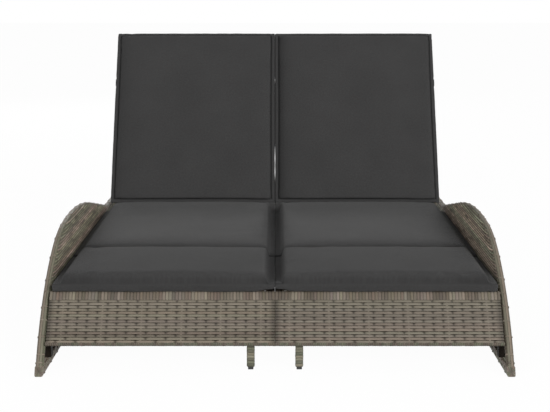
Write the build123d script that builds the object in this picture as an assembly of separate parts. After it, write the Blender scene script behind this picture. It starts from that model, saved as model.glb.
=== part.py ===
from build123d import *
import os
from math import cos, radians, sin, sqrt, tan

# Double chaise lounger: two mirrored loungers in wrapped cane over steel, bolted side by side.
# Millimetres. X runs across, +Y from the foot end to the head end, +Z up. While a piece is built,
# its second coordinate is s, the distance behind the front feet; write() moves it to the part's
# own frame, whose origin is on the floor under the middle of the whole lounger.

# Whole lounger
overall_width = 1360.0
overall_length = 2030.0
seam_gap = 1.6
seat_gap = 0.3
overrun = 40.0

# Side frames: one bent tube each, on a runner
tube_d = 24.0
foot_angle = 63.0
leg_radius = 696.0
knee_angle = 27.0
shoulder_radius = 483.0
brow_angle = 5.6
crest_radius = 1501.0
fall_angle = 12.0
ease_radius = 300.0
rear_rail_top = 247.0
rear_corner_radius = 90.0
runner_height = 28.0
runner_edge_radius = 4.0
pad_height = 2.0
pad_length = 42.0
pad_width = 16.0
pad_end_margin = 24.0
pad_count = 4
side_panel_thickness = 7.0

# Posts behind the side panels, and the bolts that hold the under-frame to them
post_width = 16.0
post_depth = 25.0
front_post_s = 94.0
bolt_d = 8.0
bolt_clearance = 0.2
bolt_head_d = 13.0
bolt_head_height = 5.0

# Under-frame of square steel tube
rail_size = 25.0
rail_wall = 1.5
rail_front_s = 140.0
first_cross_setback = 65.0
second_cross_share = 0.44
third_cross_lead = 80.0
last_cross_lead = 92.7
end_plate_thickness = 4.0
end_plate_drop = 20.0

# Seat deck: wrapped tubes with a woven panel between them
deck_tube_d = 25.0
deck_tube_z = 200.0
deck_front_s = 150.0
deck_hinge_gap = 32.5
weave_thickness = 5.5

# Front apron, which leans back with the front legs
apron_foot_s = 43.0
apron_foot_z = 82.0
apron_lean = 36.8
apron_thickness = 12.0
apron_edge_radius = 5.8
apron_rod_d = 10.0
apron_rod_setback = 19.0
apron_rod_shares = (0.03, 0.5, 0.97)
lower_tube_d = 20.0
lower_tube_rise = 25.0

# Rear apron
rear_apron_bottom = 84.0
rear_apron_thickness = 12.0
rear_lower_tube_z = 95.0

# Inner legs on glides
leg_size = 23.0
leg_x = 70.0
leg_front_s = 69.0
glide_height = 9.0
glide_size = 15.5
glide_chamfer = 1.2

# Backrests: a wrapped tube frame each, hinged at its lower end
recline = 62.0
hinge_rise = 2.0
back_reach = 768.0
back_rear_margin = 2.0
back_tube_d = 25.0
back_inner_x = 10.0
back_side_gap = 24.0
back_lower_tube_u = 45.0
back_upper_tube_drop = 128.0
bracket_thickness = 3.5
bracket_gap = 0.5
bracket_depth = 38.0
bracket_top_radius = 12.4
hinge_bolt_d = 8.0
hinge_head_d = 14.0
hinge_head_height = 4.5
running_clearance = 0.1

# Props under the backrests, and the notched racks that they step along
prop_pivot_share = 0.34
prop_rod_d = 12.0
prop_eye_d = 13.0
prop_eye_width = 16.0
prop_pin_d = 6.0
prop_pin_head_d = 11.0
prop_pin_head_height = 3.0
prop_side_gap = 9.0
rack_thickness = 4.0
rack_height = 28.0
rack_tip_gap = 0.5
rack_overrun = 12.0
notch_radius = 7.0
notch_depth = 3.0
notch_angles = (62.0, 50.0, 38.0, 25.0, 0.0)

# Cushions
cushion_inner_x = 5.0
cushion_side_gap = 6.0
cushion_front_s = 138.0
cushion_fold_s = 480.0
cushion_fold_gap = 4.0
cushion_edge_height = 50.0
cushion_crown = 7.0
cushion_side_bulge = 12.0
cushion_side_draw = 5.0
cushion_end_round = 22.0
cushion_back_clearance = 1.2
back_cushion_lap = 4.0
back_cushion_top_margin = 2.0
back_cushion_bottom_z = 275.0
crown_sections = 7
end_height_share = 0.45
end_inset_share = 0.45

# Elastic straps that hold the back cushions to their frames
strap_rack_gap = 2.0
strap_width = 32.0
strap_thickness = 1.6
strap_front_n = 46.0
strap_corner_radius = 7.0

# Places that follow from the sizes above
half_width = overall_width / 2
tube_x = half_width - tube_d / 2
module_inner_x = seam_gap / 2
panel_inner_x = tube_x - side_panel_thickness / 2
post_outer_x = panel_inner_x - seat_gap
post_inner_x = post_outer_x - post_width
side_inner_x = half_width - tube_d
runner_top = pad_height + runner_height
deck_r = deck_tube_d / 2
deck_bottom = deck_tube_z - deck_r
deck_top = deck_tube_z + deck_r
rail_top = deck_bottom - seat_gap
rail_bottom = rail_top - rail_size
cross_bottom = rail_bottom - rail_size
deck_inner_x = module_inner_x + deck_r
deck_outer_x = side_inner_x - 2 * seat_gap - deck_r
bolt_z = cross_bottom - end_plate_drop / 2
hinge_s = overall_length - back_rear_margin - back_reach
hinge_z = deck_tube_z + hinge_rise
deck_rear_s = hinge_s - deck_hinge_gap
back_r = back_tube_d / 2
back_outer_x = side_inner_x - back_side_gap
back_upper_tube_u = back_reach - back_upper_tube_drop
outer_bracket_x = back_outer_x - back_tube_d - bracket_gap - bracket_thickness
inner_bracket_x = back_inner_x + back_tube_d + bracket_gap
outer_rail_x = outer_bracket_x - rail_size
inner_rail_x = inner_bracket_x + bracket_thickness
rear_rail_s = overall_length - rear_apron_thickness - seat_gap - rail_size
first_cross_s = deck_front_s + first_cross_setback
third_cross_s = hinge_s - third_cross_lead
second_cross_s = first_cross_s + second_cross_share * (third_cross_s - first_cross_s)
last_cross_s = rear_rail_s - last_cross_lead
cross_rail_places = (first_cross_s, second_cross_s, third_cross_s, last_cross_s)
cushion_bottom = deck_top + seat_gap
cushion_outer_x = side_inner_x - cushion_side_gap
back_cushion_outer_x = back_outer_x + back_cushion_lap
back_cushion_reach = back_reach - back_cushion_top_margin
prop_pivot_u = back_reach * prop_pivot_share
prop_foot_u = 2 * prop_pivot_u
rack_end_u = prop_foot_u + notch_radius + rack_overrun
strap_u = rack_end_u + strap_rack_gap

side_plane = Plane(origin=(0, 0, 0), x_dir=(0, 1, 0), z_dir=(1, 0, 0))
apron_plane = Plane(
    origin=(0, apron_foot_s, apron_foot_z),
    x_dir=(1, 0, 0),
    z_dir=(0, -cos(radians(apron_lean)), sin(radians(apron_lean))),
)


def block(x0, x1, s0, s1, z0, z1):
    """A box between two corners."""
    size = Box(x1 - x0, s1 - s0, z1 - z0, align=(Align.MIN, Align.MIN, Align.MIN))
    return Pos(x0, s0, z0) * size


def rod_x(x0, x1, s, z, d):
    """A round bar across the lounger."""
    body = Cylinder(d / 2, x1 - x0, align=(Align.CENTER, Align.CENTER, Align.MIN))
    return Pos(x0, s, z) * Rot(0, 90, 0) * body


def rod_s(x, s0, s1, z, d):
    """A round bar along the lounger."""
    body = Cylinder(d / 2, s1 - s0, align=(Align.CENTER, Align.CENTER, Align.MIN))
    return Pos(x, s0, z) * Rot(-90, 0, 0) * body


def hollow_x(x0, x1, s0, z0):
    """A square steel tube across the lounger, open at its ends."""
    outer = block(x0, x1, s0, s0 + rail_size, z0, z0 + rail_size)
    inner = block(
        x0 - overrun, x1 + overrun,
        s0 + rail_wall, s0 + rail_size - rail_wall,
        z0 + rail_wall, z0 + rail_size - rail_wall,
    )
    return outer - inner


def hollow_s(x0, s0, s1, z0):
    """A square steel tube along the lounger, open at its ends."""
    outer = block(x0, x0 + rail_size, s0, s1, z0, z0 + rail_size)
    inner = block(
        x0 + rail_wall, x0 + rail_size - rail_wall,
        s0 - overrun, s1 + overrun,
        z0 + rail_wall, z0 + rail_size - rail_wall,
    )
    return outer - inner


def raised(shape):
    """Turns a piece that was built with the backrest flat to where the raised backrest holds it."""
    return Pos(0, hinge_s, hinge_z) * Rot(recline, 0, 0) * Pos(0, -hinge_s, -hinge_z) * shape


def propped(shape):
    """Turns a prop that was built flat under the backrest to where it stands at rest."""
    pivot_s = hinge_s + prop_pivot_u * cos(radians(recline))
    pivot_z = hinge_z + prop_pivot_u * sin(radians(recline))
    return Pos(0, pivot_s, pivot_z) * Rot(-recline, 0, 0) * Pos(0, -hinge_s - prop_pivot_u, -hinge_z) * shape


def arm_edges(inset):
    """Lines and tangent arcs along the side tube, parallel to its outer edge and inset from it.

    They run up the front leg, over the arm, along the level rear rail and down the rear leg.
    """
    first, knee, brow, fall = (radians(a) for a in (foot_angle, knee_angle, brow_angle, fall_angle))
    top_after_arcs = (
        pad_height
        + leg_radius * (cos(knee) - cos(first))
        + shoulder_radius * (cos(brow) - cos(knee))
        + crest_radius * (cos(fall) - cos(brow))
    )
    fall_height = top_after_arcs - rear_rail_top - ease_radius * (1 - cos(fall))
    edges = []
    point = Vector(inset * sin(first), pad_height - inset * cos(first))
    direction = Vector(cos(first), sin(first))
    for radius, turn in (
        (leg_radius - inset, knee_angle - foot_angle),
        (shoulder_radius - inset, brow_angle - knee_angle),
        (crest_radius - inset, -fall_angle - brow_angle),
    ):
        arc = JernArc(point, direction, radius, turn)
        edges.append(arc)
        point, direction = arc @ 1, arc % 1
    fall_line = Line(point, point + direction * (fall_height / sin(fall)))
    ease = JernArc(fall_line @ 1, direction, ease_radius + inset, fall_angle)
    corner_start = Vector(overall_length - rear_corner_radius, rear_rail_top - inset)
    level = Line(ease @ 1, corner_start)
    corner = JernArc(corner_start, (1, 0), rear_corner_radius - inset, -90)
    drop = Line(corner @ 1, Vector(overall_length - inset, 0))
    return edges + [fall_line, ease, level, corner, drop]


def inside_arm(inset):
    """The face under the side tube, above the runner's top."""
    edges = arm_edges(inset)
    close = Line(edges[-1] @ 1, edges[0] @ 0)
    face = make_face(edges + [close])
    window = Pos(0, runner_top) * Rectangle(
        overall_length + overrun, half_width, align=(Align.MIN, Align.MIN)
    )
    return face & window


def side_tube():
    path = Wire([edge for piece in arm_edges(tube_d / 2) for edge in piece.edges()])
    start = side_plane.from_local_coords(path @ 0)
    heading = side_plane.from_local_coords((path @ 0) + (path % 0)) - start
    section = Plane(origin=start, z_dir=heading) * Circle(tube_d / 2)
    tube = sweep(section, path=side_plane * path)
    keep = block(-half_width, half_width, -overrun, overall_length + overrun, runner_top, half_width)
    return Pos(tube_x, 0, 0) * (tube & keep)


def runner():
    lean = runner_height / tan(radians(foot_angle))
    outline = Polyline(
        (0, pad_height), (overall_length, pad_height),
        (overall_length, runner_top), (lean, runner_top), close=True,
    )
    bar = extrude(side_plane * make_face(outline), tube_d)
    bar = fillet(bar.edges().filter_by(Axis.Y), runner_edge_radius)
    return Pos(side_inner_x, 0, 0) * bar


def runner_pads():
    first = pad_end_margin
    last = overall_length - pad_end_margin - pad_length
    step = (last - first) / (pad_count - 1)
    return [
        block(
            tube_x - pad_width / 2, tube_x + pad_width / 2,
            first + i * step, first + i * step + pad_length, 0, pad_height,
        )
        for i in range(pad_count)
    ]


def side_panel():
    back_of_post = front_post_s + post_depth + seat_gap
    window = Pos(back_of_post, runner_top + seat_gap) * Rectangle(
        overall_length, half_width, align=(Align.MIN, Align.MIN)
    )
    face = inside_arm(tube_d + seat_gap) & window
    return Pos(panel_inner_x, 0, 0) * extrude(side_plane * face, side_panel_thickness)


def bolt_hole(x0, x1, s):
    return rod_x(x0 - overrun, x1 + overrun, s, bolt_z, bolt_d + 2 * bolt_clearance)


def side_posts():
    """A front post up to the leg, and one post at each cross rail."""
    window = Pos(front_post_s, runner_top) * Rectangle(
        post_depth, half_width, align=(Align.MIN, Align.MIN)
    )
    front = inside_arm(tube_d + seat_gap) & window
    posts = [Pos(post_inner_x, 0, 0) * extrude(side_plane * front, post_width)]
    for s in cross_rail_places:
        post = block(
            post_inner_x, post_outer_x, s - post_depth / 2, s + post_depth / 2, runner_top, rail_top
        )
        posts.append(post - bolt_hole(post_inner_x, post_outer_x, s))
    return posts


def cross_rails():
    """Square tubes with a bolted plate at each end."""
    rails = []
    plate_inner = module_inner_x + end_plate_thickness
    plate_outer = post_inner_x - end_plate_thickness
    for s in cross_rail_places:
        s0 = s - rail_size / 2
        s1 = s + rail_size / 2
        bottom = cross_bottom - end_plate_drop
        rail = hollow_x(plate_inner, plate_outer, s0, cross_bottom)
        rail += block(module_inner_x, plate_inner, s0, s1, bottom, rail_bottom)
        rail += block(plate_outer, post_inner_x, s0, s1, bottom, rail_bottom)
        hole_inner = rod_x(
            module_inner_x - overrun, plate_inner + overrun, s, bolt_z, bolt_d + 2 * bolt_clearance
        )
        hole_outer = rod_x(
            plate_outer - overrun, post_inner_x + overrun, s, bolt_z, bolt_d + 2 * bolt_clearance
        )
        rails.append(rail - hole_inner - hole_outer)
    return rails


def hexagon_x(x0, x1, s, z, d):
    """A bolt head or nut with its axis across the lounger."""
    body = extrude(RegularPolygon(d / 2, 6), x1 - x0)
    return Pos(x0, s, z) * Rot(0, 90, 0) * body


def frame_bolts():
    """Bolts from the cross rails' outer plates into the posts."""
    head_face = post_inner_x - end_plate_thickness
    tip = post_outer_x - seat_gap
    head_end = head_face - bolt_head_height
    return [
        hexagon_x(head_end, head_face, s, bolt_z, bolt_head_d) + rod_x(head_end, tip, s, bolt_z, bolt_d)
        for s in cross_rail_places
    ]


def seam_bolts():
    """Bolts through both loungers' inner plates, with a head and a nut."""
    face = module_inner_x + end_plate_thickness
    end = face + bolt_head_height
    return [
        rod_x(-end, end, s, bolt_z, bolt_d)
        + hexagon_x(-end, -face, s, bolt_z, bolt_head_d)
        + hexagon_x(face, end, s, bolt_z, bolt_head_d)
        for s in cross_rail_places
    ]


def deck_frame():
    side_start = deck_front_s + deck_r
    side_end = deck_rear_s - deck_r
    outer_end = deck_outer_x + deck_r
    return [
        rod_x(module_inner_x, outer_end, deck_front_s, deck_tube_z, deck_tube_d),
        rod_x(module_inner_x, outer_end, deck_rear_s, deck_tube_z, deck_tube_d),
        rod_s(deck_inner_x, side_start, side_end, deck_tube_z, deck_tube_d),
        rod_s(deck_outer_x, side_start, side_end, deck_tube_z, deck_tube_d),
    ]


def weave_edge(radius):
    """How far from a tube's centre line a woven panel in the top of the tube begins."""
    return sqrt(radius**2 - (radius - weave_thickness) ** 2) + seat_gap


def deck_weave():
    edge = weave_edge(deck_r)
    return block(
        deck_inner_x + edge, deck_outer_x - edge,
        deck_front_s + edge, deck_rear_s - edge,
        deck_top - weave_thickness, deck_top,
    )


def front_tube_on_slope():
    """The deck's front tube, as distances up the apron's slope and behind its face."""
    along = deck_front_s - apron_foot_s
    up = deck_tube_z - apron_foot_z
    lean = radians(apron_lean)
    return along * sin(lean) + up * cos(lean), along * cos(lean) - up * sin(lean)


def front_apron():
    tube_a, tube_d_in = front_tube_on_slope()
    reach = deck_r + seat_gap
    top = tube_a - sqrt(reach**2 - (tube_d_in - apron_thickness) ** 2)
    plate = block(module_inner_x, side_inner_x - seat_gap, 0, top, -apron_thickness, 0)
    low_edges = plate.edges().filter_by(Axis.X).group_by(Axis.Y)[0]
    return apron_plane * fillet(low_edges, apron_edge_radius)


def lower_front_tube(d):
    setback = apron_thickness + seat_gap + lower_tube_d / 2
    return apron_plane * rod_x(
        module_inner_x, side_inner_x - seat_gap, lower_tube_rise, -setback, d
    )


def front_apron_frame():
    """The tube behind the apron's lower edge, hung on rods from the deck's front tube."""
    tube_a, _ = front_tube_on_slope()
    start = lower_tube_rise + lower_tube_d / 2
    span = side_inner_x - module_inner_x
    rods = [
        apron_plane * rod_s(
            module_inner_x + share * span, start, tube_a - deck_r, -apron_rod_setback, apron_rod_d
        )
        for share in apron_rod_shares
    ]
    return [lower_front_tube(lower_tube_d)] + rods


def rear_lower_tube(d):
    return rod_x(
        module_inner_x, side_inner_x - seat_gap, rear_rail_s + rail_size / 2, rear_lower_tube_z, d
    )


def rear_rail():
    return hollow_x(module_inner_x, side_inner_x - seat_gap, rear_rail_s, rail_bottom)


def rear_apron_frame():
    """The tube behind the rear apron's lower edge, hung on rods from the rear rail."""
    start = rear_lower_tube_z + lower_tube_d / 2
    span = side_inner_x - module_inner_x
    rods = [
        Pos(module_inner_x + share * span, rear_rail_s + rail_size / 2, start)
        * Cylinder(
            apron_rod_d / 2, rail_bottom - start, align=(Align.CENTER, Align.CENTER, Align.MIN)
        )
        for share in apron_rod_shares
    ]
    return [rear_lower_tube(lower_tube_d)] + rods


def rear_apron():
    face = overall_length - rear_apron_thickness
    return block(
        module_inner_x, side_inner_x - seat_gap, face, overall_length, rear_apron_bottom, rail_top
    )


def leg_starts():
    """Where the front and the rear inner leg begin along the lounger."""
    rear_s = rear_rail_s + (rail_size - leg_size) / 2
    return (leg_front_s, rear_s)


def inner_legs():
    """Legs by the seam, hollowed at the top to fit round the lower tubes."""
    front_s, rear_s = leg_starts()
    x0 = leg_x - leg_size / 2
    x1 = leg_x + leg_size / 2
    slope_d = apron_thickness + seat_gap + lower_tube_d / 2
    lean = radians(apron_lean)
    front_top = apron_foot_z + lower_tube_rise * cos(lean) - slope_d * sin(lean)
    seat_d = lower_tube_d + 2 * seat_gap
    front = block(x0, x1, front_s, front_s + leg_size, glide_height, front_top)
    rear = block(x0, x1, rear_s, rear_s + leg_size, glide_height, rear_lower_tube_z)
    return [front - lower_front_tube(seat_d), rear - rear_lower_tube(seat_d)]


def leg_glides():
    glides = []
    for s in leg_starts():
        middle = s + leg_size / 2
        foot = block(
            leg_x - glide_size / 2, leg_x + glide_size / 2,
            middle - glide_size / 2, middle + glide_size / 2, 0, glide_height,
        )
        glides.append(chamfer(foot.edges().group_by(Axis.Z)[0], glide_chamfer))
    return glides


def hinge_brackets():
    """Plates welded to the rails, with a round top that holds the backrest's bolt."""
    brackets = []
    hole = hinge_bolt_d + 2 * running_clearance
    for x0 in (outer_bracket_x, inner_bracket_x):
        x1 = x0 + bracket_thickness
        foot_s = hinge_s - bracket_depth / 2
        plate = block(x0, x1, foot_s, foot_s + bracket_depth, rail_bottom, rail_top)
        plate += block(
            x0, x1, hinge_s - bracket_top_radius, hinge_s + bracket_top_radius, rail_bottom, hinge_z
        )
        plate += rod_x(x0, x1, hinge_s, hinge_z, 2 * bracket_top_radius)
        plate -= rod_x(x0 - overrun, x1 + overrun, hinge_s, hinge_z, hole)
        brackets.append(plate)
    return brackets


def hinge_bolts():
    """A bolt through each bracket and backrest tube, with its head outside and its nut inside."""
    bolts = []
    for tube_face, nut_face, out in (
        (back_outer_x, outer_bracket_x, 1),
        (back_inner_x, inner_bracket_x + bracket_thickness, -1),
    ):
        head_face = tube_face + out * bracket_gap
        head = sorted((head_face, head_face + out * hinge_head_height))
        nut = sorted((nut_face, nut_face - out * hinge_head_height))
        shank = (min(head + nut), max(head + nut))
        bolts.append(
            rod_x(shank[0], shank[1], hinge_s, hinge_z, hinge_bolt_d)
            + rod_x(head[0], head[1], hinge_s, hinge_z, hinge_head_d)
            + hexagon_x(nut[0], nut[1], hinge_s, hinge_z, hinge_head_d)
        )
    return bolts


def notch_racks():
    """Notched plates on the rails' facing sides, just under the path of the prop's foot bar."""
    tip = hinge_z - prop_rod_d / 2 - rack_tip_gap
    nearest = hinge_s + prop_foot_u * cos(radians(max(notch_angles)))
    start = nearest - notch_radius - rack_overrun
    end = hinge_s + rack_end_u
    racks = []
    for x0 in (outer_rail_x - rack_thickness, inner_rail_x + rail_size):
        x1 = x0 + rack_thickness
        plate = block(x0, x1, start, end, tip - rack_height, tip)
        for angle in notch_angles:
            s = hinge_s + prop_foot_u * cos(radians(angle))
            z = tip - notch_depth + notch_radius
            plate -= rod_x(x0 - overrun, x1 + overrun, s, z, 2 * notch_radius)
        racks.append(plate)
    return racks


def back_side_tube(x):
    """A side tube with round ends, bored for the hinge bolt."""
    end = back_reach - back_r
    outline = [
        Line((0, -back_r), (0, back_reach)),
        RadiusArc((0, back_reach), (back_r, end), back_r),
        Line((back_r, end), (back_r, 0)),
        RadiusArc((back_r, 0), (0, -back_r), back_r),
    ]
    tube = Pos(x, hinge_s, hinge_z) * revolve(make_face(outline), Axis.Y)
    bore = rod_x(x - overrun, x + overrun, hinge_s, hinge_z, hinge_bolt_d + 2 * running_clearance)
    return tube - bore


def back_frame():
    left = back_inner_x + back_tube_d
    right = back_outer_x - back_tube_d
    tubes = [back_side_tube(back_inner_x + back_r), back_side_tube(back_outer_x - back_r)]
    for u in (back_lower_tube_u, back_upper_tube_u, back_reach - back_r):
        tubes.append(rod_x(left, right, hinge_s + u, hinge_z, back_tube_d))
    return [raised(tube) for tube in tubes]


def back_weave():
    """The woven panel, in the top of the frame from the lower tube to the top one."""
    edge = weave_edge(back_r)
    front = hinge_z + back_r
    panel = block(
        back_inner_x + back_r + edge, back_outer_x - back_r - edge,
        hinge_s + back_lower_tube_u + edge, hinge_s + back_reach - back_r - edge,
        front - weave_thickness, front,
    )
    upper = rod_x(
        back_inner_x, back_outer_x, hinge_s + back_upper_tube_u, hinge_z, back_tube_d + 2 * seat_gap
    )
    return raised(panel - upper)


def prop_arm_x():
    """Centre lines of a prop's two arms."""
    outer = back_outer_x - back_tube_d - prop_side_gap - prop_rod_d / 2
    inner = back_inner_x + back_tube_d + prop_side_gap + prop_rod_d / 2
    return inner, outer


def prop():
    """A bent rod: two arms with eyes, joined by a foot bar."""
    inner, outer = prop_arm_x()
    pivot = hinge_s + prop_pivot_u
    foot = hinge_s + prop_foot_u
    half_eye = prop_eye_width / 2
    body = rod_x(inner, outer, foot, hinge_z, prop_rod_d)
    for x in (inner, outer):
        body += rod_s(x, pivot, foot, hinge_z, prop_rod_d)
        body += Pos(x, foot, hinge_z) * Sphere(prop_rod_d / 2)
        body += rod_x(x - half_eye, x + half_eye, pivot, hinge_z, prop_eye_d)
        body -= rod_x(
            x - overrun, x + overrun, pivot, hinge_z, prop_pin_d + 2 * running_clearance
        )
    return propped(body)


def prop_pins():
    """Pins from the backrest's tubes through the prop's eyes, with a head at the far end."""
    inner, outer = prop_arm_x()
    pivot = hinge_s + prop_pivot_u
    pins = []
    for tube_face, x, out in ((back_inner_x + back_tube_d, inner, -1), (back_outer_x - back_tube_d, outer, 1)):
        far = x - out * (prop_eye_width / 2 + seat_gap)
        head = sorted((far, far - out * prop_pin_head_height))
        shank = sorted((far - out * prop_pin_head_height, tube_face))
        pins.append(
            rod_x(shank[0], shank[1], pivot, hinge_z, prop_pin_d)
            + rod_x(head[0], head[1], pivot, hinge_z, prop_pin_head_d)
        )
    return [raised(pin) for pin in pins]


def cushion(x0, x1, s0, s1, bottom):
    """A crowned box cushion, with sides that pull in between its corners and rounded ends."""
    middle = (x0 + x1) / 2
    half = (x1 - x0) / 2 - cushion_side_bulge
    sections = []
    steps = [0.0]
    steps += [i / (crown_sections - 1) for i in range(crown_sections)]
    steps += [1.0]
    for i, t in enumerate(steps):
        at_end = i in (0, len(steps) - 1)
        first_half = i < len(steps) / 2
        reach = s1 - s0 - 2 * cushion_end_round
        s = s0 + cushion_end_round + t * reach
        if at_end:
            s = s0 if first_half else s1
        swell = 1 - (2 * t - 1) ** 2
        inset = cushion_side_draw * swell
        low, high = 0.0, cushion_edge_height
        rise = cushion_crown * (1 + swell) / 2
        if at_end:
            inset = cushion_end_round * end_inset_share
            low = cushion_edge_height * end_height_share / 2
            high = cushion_edge_height - low
            rise = rise / 2
        w = half - inset
        z0, z1 = bottom + low, bottom + high
        bulge = cushion_side_bulge
        outline = [
            Line((-w, z0), (w, z0)),
            ThreePointArc((w, z0), (w + bulge, (z0 + z1) / 2), (w, z1)),
            ThreePointArc((w, z1), (0, z1 + rise), (-w, z1)),
            ThreePointArc((-w, z1), (-w - bulge, (z0 + z1) / 2), (-w, z0)),
        ]
        across = Plane(origin=(middle, s, 0), x_dir=(1, 0, 0), z_dir=(0, -1, 0))
        sections.append(across * make_face(outline))
    body = loft(sections)
    keep = block(x0 - overrun, x1 + overrun, s0 - overrun, s1 + overrun, bottom, bottom + half_width)
    return body & keep


def leg_cushion():
    return cushion(
        cushion_inner_x, cushion_outer_x,
        cushion_front_s, cushion_fold_s - cushion_fold_gap / 2, cushion_bottom,
    )


def back_face_cutter(setback):
    """Everything behind a plane that lies along the raised backrest, in front of its tubes."""
    slab = block(
        -half_width, half_width,
        hinge_s - overall_length, hinge_s + overall_length,
        hinge_z - overall_length, hinge_z + setback,
    )
    return raised(slab)


def seat_cushion():
    """The middle cushion, whose rear end is cut parallel to the backrest."""
    front_n = back_r + cushion_back_clearance
    lift = cushion_bottom + cushion_edge_height - hinge_z
    lean = radians(recline)
    rear = hinge_s + (lift - front_n * cos(lean)) / tan(lean) - front_n * sin(lean)
    body = cushion(
        cushion_inner_x, cushion_outer_x,
        cushion_fold_s + cushion_fold_gap / 2, rear + cushion_end_round / 2, cushion_bottom,
    )
    return body - back_face_cutter(front_n)


def back_cushion():
    """The back cushion, whose lower end is level, just above the seat cushion."""
    body = cushion(
        cushion_inner_x, back_cushion_outer_x,
        hinge_s, hinge_s + back_cushion_reach, hinge_z + back_r + seat_gap,
    )
    keep = block(
        -half_width, half_width,
        hinge_s - overall_length, hinge_s + overall_length,
        back_cushion_bottom_z, overall_length,
    )
    return raised(body) & keep


def back_strap():
    """A band behind the backrest's frame, whose ends run forward along the cushion's sides."""
    x0 = cushion_inner_x - seat_gap - strap_thickness
    x1 = back_cushion_outer_x + seat_gap + strap_thickness
    u0 = hinge_s + strap_u
    rear = hinge_z - back_r - seat_gap - strap_thickness
    front = hinge_z + strap_front_n
    outer = block(x0, x1, u0, u0 + strap_width, rear, front)
    corners = outer.edges().filter_by(Axis.Y).group_by(Axis.Z)[0]
    outer = fillet(corners, strap_corner_radius)
    inner = block(
        x0 + strap_thickness, x1 - strap_thickness,
        u0 - overrun, u0 + strap_width + overrun,
        rear + strap_thickness, front + overrun,
    )
    corners = inner.edges().filter_by(Axis.Y).group_by(Axis.Z)[0]
    inner = fillet(corners, strap_corner_radius - strap_thickness)
    return raised(outer - inner)


def write(name, solids):
    """Writes one node in the part's own frame."""
    pieces = solids if isinstance(solids, list) else [solids]
    moved = [solid for piece in pieces for solid in (Pos(0, -overall_length / 2, 0) * piece).solids()]
    export_step(Compound(moved) if len(moved) > 1 else moved[0], os.path.join("parts", name + ".step"))


def mirrored(solids):
    pieces = solids if isinstance(solids, list) else [solids]
    return [mirror(piece, about=Plane.YZ) for piece in pieces]


lounger = {
    "side_tube": side_tube,
    "runner": runner,
    "side_panel": side_panel,
    "side_posts": side_posts,
    "runner_pads": runner_pads,
    "outer_rail": lambda: hollow_s(outer_rail_x, rail_front_s, rear_rail_s, rail_bottom),
    "inner_rail": lambda: hollow_s(inner_rail_x, rail_front_s, rear_rail_s, rail_bottom),
    "cross_rails": cross_rails,
    "rear_rail": rear_rail,
    "deck_frame": deck_frame,
    "deck_weave": deck_weave,
    "front_apron": front_apron,
    "front_apron_frame": front_apron_frame,
    "rear_apron": rear_apron,
    "rear_apron_frame": rear_apron_frame,
    "inner_legs": inner_legs,
    "leg_glides": leg_glides,
    "hinge_brackets": hinge_brackets,
    "hinge_bolts": hinge_bolts,
    "notch_racks": notch_racks,
    "frame_bolts": frame_bolts,
    "leg_cushion": leg_cushion,
    "seat_cushion": seat_cushion,
    "back_frame": back_frame,
    "back_weave": back_weave,
    "back_cushion": back_cushion,
    "back_strap": back_strap,
    "prop_pins": prop_pins,
    "prop": prop,
}

os.makedirs("parts", exist_ok=True)
for name, make in lounger.items():
    right = make()
    write("right_" + name, right)
    write("left_" + name, mirrored(right))
write("seam_bolts", seam_bolts())
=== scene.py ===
from math import atan2, cos, hypot, pi, radians, sin, tan

import bpy
import numpy as np
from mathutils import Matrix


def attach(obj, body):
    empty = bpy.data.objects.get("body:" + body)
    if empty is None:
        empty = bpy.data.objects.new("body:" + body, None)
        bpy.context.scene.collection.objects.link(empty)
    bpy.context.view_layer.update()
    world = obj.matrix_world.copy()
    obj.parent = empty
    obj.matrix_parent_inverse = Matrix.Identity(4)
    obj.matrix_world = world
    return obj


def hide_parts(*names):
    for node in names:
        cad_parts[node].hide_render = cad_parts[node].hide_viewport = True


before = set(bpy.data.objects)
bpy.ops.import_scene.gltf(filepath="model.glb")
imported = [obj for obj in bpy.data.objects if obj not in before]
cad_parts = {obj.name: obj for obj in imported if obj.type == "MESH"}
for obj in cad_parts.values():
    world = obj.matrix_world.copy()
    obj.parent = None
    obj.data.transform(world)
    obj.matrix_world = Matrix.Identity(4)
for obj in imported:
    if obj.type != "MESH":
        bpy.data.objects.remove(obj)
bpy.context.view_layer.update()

# Sizes in millimetres, as in the part's source. s runs back from the front feet; Y = s - half_length.
half_length = 1015.0
tube_d = 24.0
tube_x = 668.0
side_inner_x = 656.0
pad_height = 2.0
runner_top = 30.0
rear_rail_top = 247.0
outline_arcs = ((696.0, 63.0, 27.0), (483.0, 27.0, 5.6), (1501.0, 5.6, -12.0))
ease_radius = 300.0
rear_corner_radius = 90.0
deck_z = 200.0
deck_front_y = 150.0 - half_length
deck_rear_y = 1227.5 - half_length
deck_r = 12.5
apron_foot = (0.0, 43.0 - half_length, 82.0)
apron_lean = radians(36.8)
apron_thick = 12.0
hinge_y = 1260.0 - half_length
hinge_z = 202.0
recline = radians(62.0)
back_x = (10.0, 632.0)
back_reach = 768.0
back_rungs = (45.0, 640.0)
cushion_bottom = 212.8
strap_u = 559.2

# The cane: strands, and the stakes that they cross
pitch = 8.4
strand_w = 9.2
strand_t = 1.5
stake_pitch = 29.0
stake_w = 6.0
stake_t = 1.6
skin_gap = 0.9

# Strand colours, linear
LIGHT = np.array((0.238, 0.204, 0.162))
MID = np.array((0.172, 0.143, 0.111))
DARK = np.array((0.115, 0.094, 0.071))
GREEN = np.array((0.146, 0.142, 0.102))
PINK = np.array((0.185, 0.148, 0.118))

X, Y, Z = np.eye(3)
TAGS = {1: "right_", -1: "left_"}
WHITE = (1, 1, 1, 1)


# ---- materials

def node(nt, kind, sockets=None, **settings):
    """A shader node. Each socket gets a value, or a link from another node's output."""
    n = nt.nodes.new("ShaderNode" + kind)
    for key, value in settings.items():
        setattr(n, key, value)
    for key, value in (sockets or {}).items():
        if isinstance(value, bpy.types.NodeSocket):
            nt.links.new(value, n.inputs[key])
        else:
            n.inputs[key].default_value = value
    return n


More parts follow.
